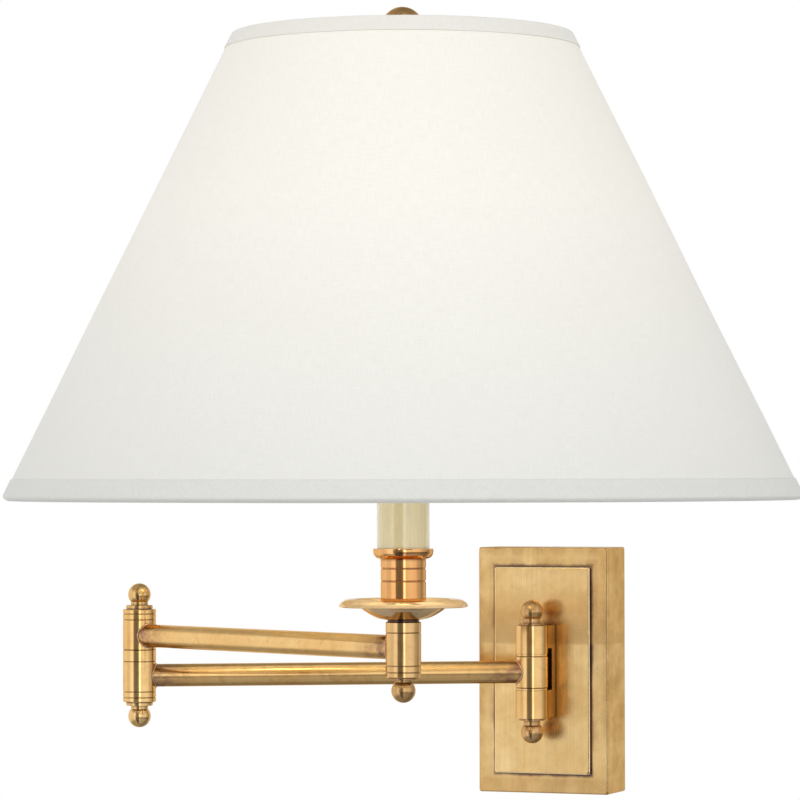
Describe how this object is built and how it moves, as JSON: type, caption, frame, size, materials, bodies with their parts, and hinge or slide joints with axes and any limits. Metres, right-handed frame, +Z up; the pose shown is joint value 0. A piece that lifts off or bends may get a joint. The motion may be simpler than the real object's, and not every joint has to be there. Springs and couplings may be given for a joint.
{
  "type": "swing arm wall sconce",
  "caption": "Swing arm wall sconce: stepped brass wall plate, two folding tube arms with barrel knuckles and ball nuts, candle sleeve lamp and a bound linen empire shade.",
  "frame": {"origin": "centre of the wall plate's back, on the wall", "axes": "+Y into the wall, +X right for somebody facing the wall, +Z up"},
  "size_m": [0.3843, 0.4342, 0.3938],
  "materials": {
    "antique_brass": "aged, satin",
    "brushed_brass": "brushed upright, aged",
    "spun_brass": "spun, warm reddish",
    "steel": "zinc plated",
    "green_screw": "dipped",
    "brass_tube": "plain",
    "wire_jacket": "matt",
    "candle": "gloss, cream",
    "harp_wire": "plated",
    "paper": "matt",
    "phenolic": "moulded",
    "aluminium": "rolled",
    "frosted_glass": "frosted, lit",
    "filament": "hot wire",
    "shade_frame": "white, gloss",
    "liner": "smooth white film",
    "linen": "plain weave, backlit",
    "binding": "folded self fabric tape"
  },
  "bodies": {
    "wall_mount": {"mounting_strap": "steel", "backplate_shell": "brushed_brass", "raised_panel": "brushed_brass", "pivot_bracket": "antique_brass", "bracket_nipple": "brass_tube", "bracket_lock_washer": "steel", "bracket_lock_nut": "steel", "plate_set_screws": "antique_brass", "ground_screw": "green_screw", "wall_pivot_pin": "brass_tube", "wall_pivot_washers": "antique_brass", "wall_top_ball_nut": "antique_brass", "wall_bottom_ball_nut": "antique_brass"},
    "lower_arm": {"wall_knuckle": "antique_brass", "lower_arm_tube": "antique_brass", "lower_arm_wire": "wire_jacket", "elbow_lower_barrel": "antique_brass", "elbow_pipe": "brass_tube", "elbow_spacer": "antique_brass", "elbow_bottom_ball_nut": "antique_brass", "elbow_top_ball_nut": "antique_brass"},
    "upper_arm": {"elbow_upper_barrel": "antique_brass", "upper_arm_tube": "antique_brass", "upper_arm_wire": "wire_jacket", "lamp_knuckle": "antique_brass", "lamp_ball_nut": "antique_brass", "lamp_pipe": "brass_tube", "drip_pan": "spun_brass", "candle_cup": "spun_brass", "candle_sleeve": "candle", "harp_saddle": "harp_wire", "harp": "harp_wire", "harp_ferrules": "harp_wire", "socket_cap": "harp_wire", "socket_shell": "harp_wire", "socket_insulator": "paper", "socket_body": "phenolic", "screw_shell": "aluminium", "centre_contact": "brass_tube", "bulb_base": "aluminium", "bulb_glass": "frosted_glass", "bulb_filament": "filament", "shade_spider": "shade_frame", "shade_bottom_ring": "shade_frame", "shade_liner": "liner", "shade_fabric": "linen", "shade_top_binding": "binding", "shade_bottom_binding": "binding", "finial": "antique_brass"},
    "switch_key": {"switch_key": "phenolic"}
  },
  "joints": [
    {"name": "wall_pivot", "type": "hinge", "parent": "wall_mount", "child": "lower_arm", "pos_m": [0, -0.0455, 0], "axis": [0, 0, 1], "range_deg": [-30, 150]},
    {"name": "elbow_pivot", "type": "hinge", "parent": "lower_arm", "child": "upper_arm", "pos_m": [-0.17883, -0.14875, 0.0104], "axis": [0, 0, 1], "range_deg": [-277, 31]},
    {"name": "switch_turn", "type": "hinge", "parent": "upper_arm", "child": "switch_key", "pos_m": [0.00516, -0.2425, 0.1362], "axis": [-0.454, -0.891, 0], "continuous": true}
  ]
}
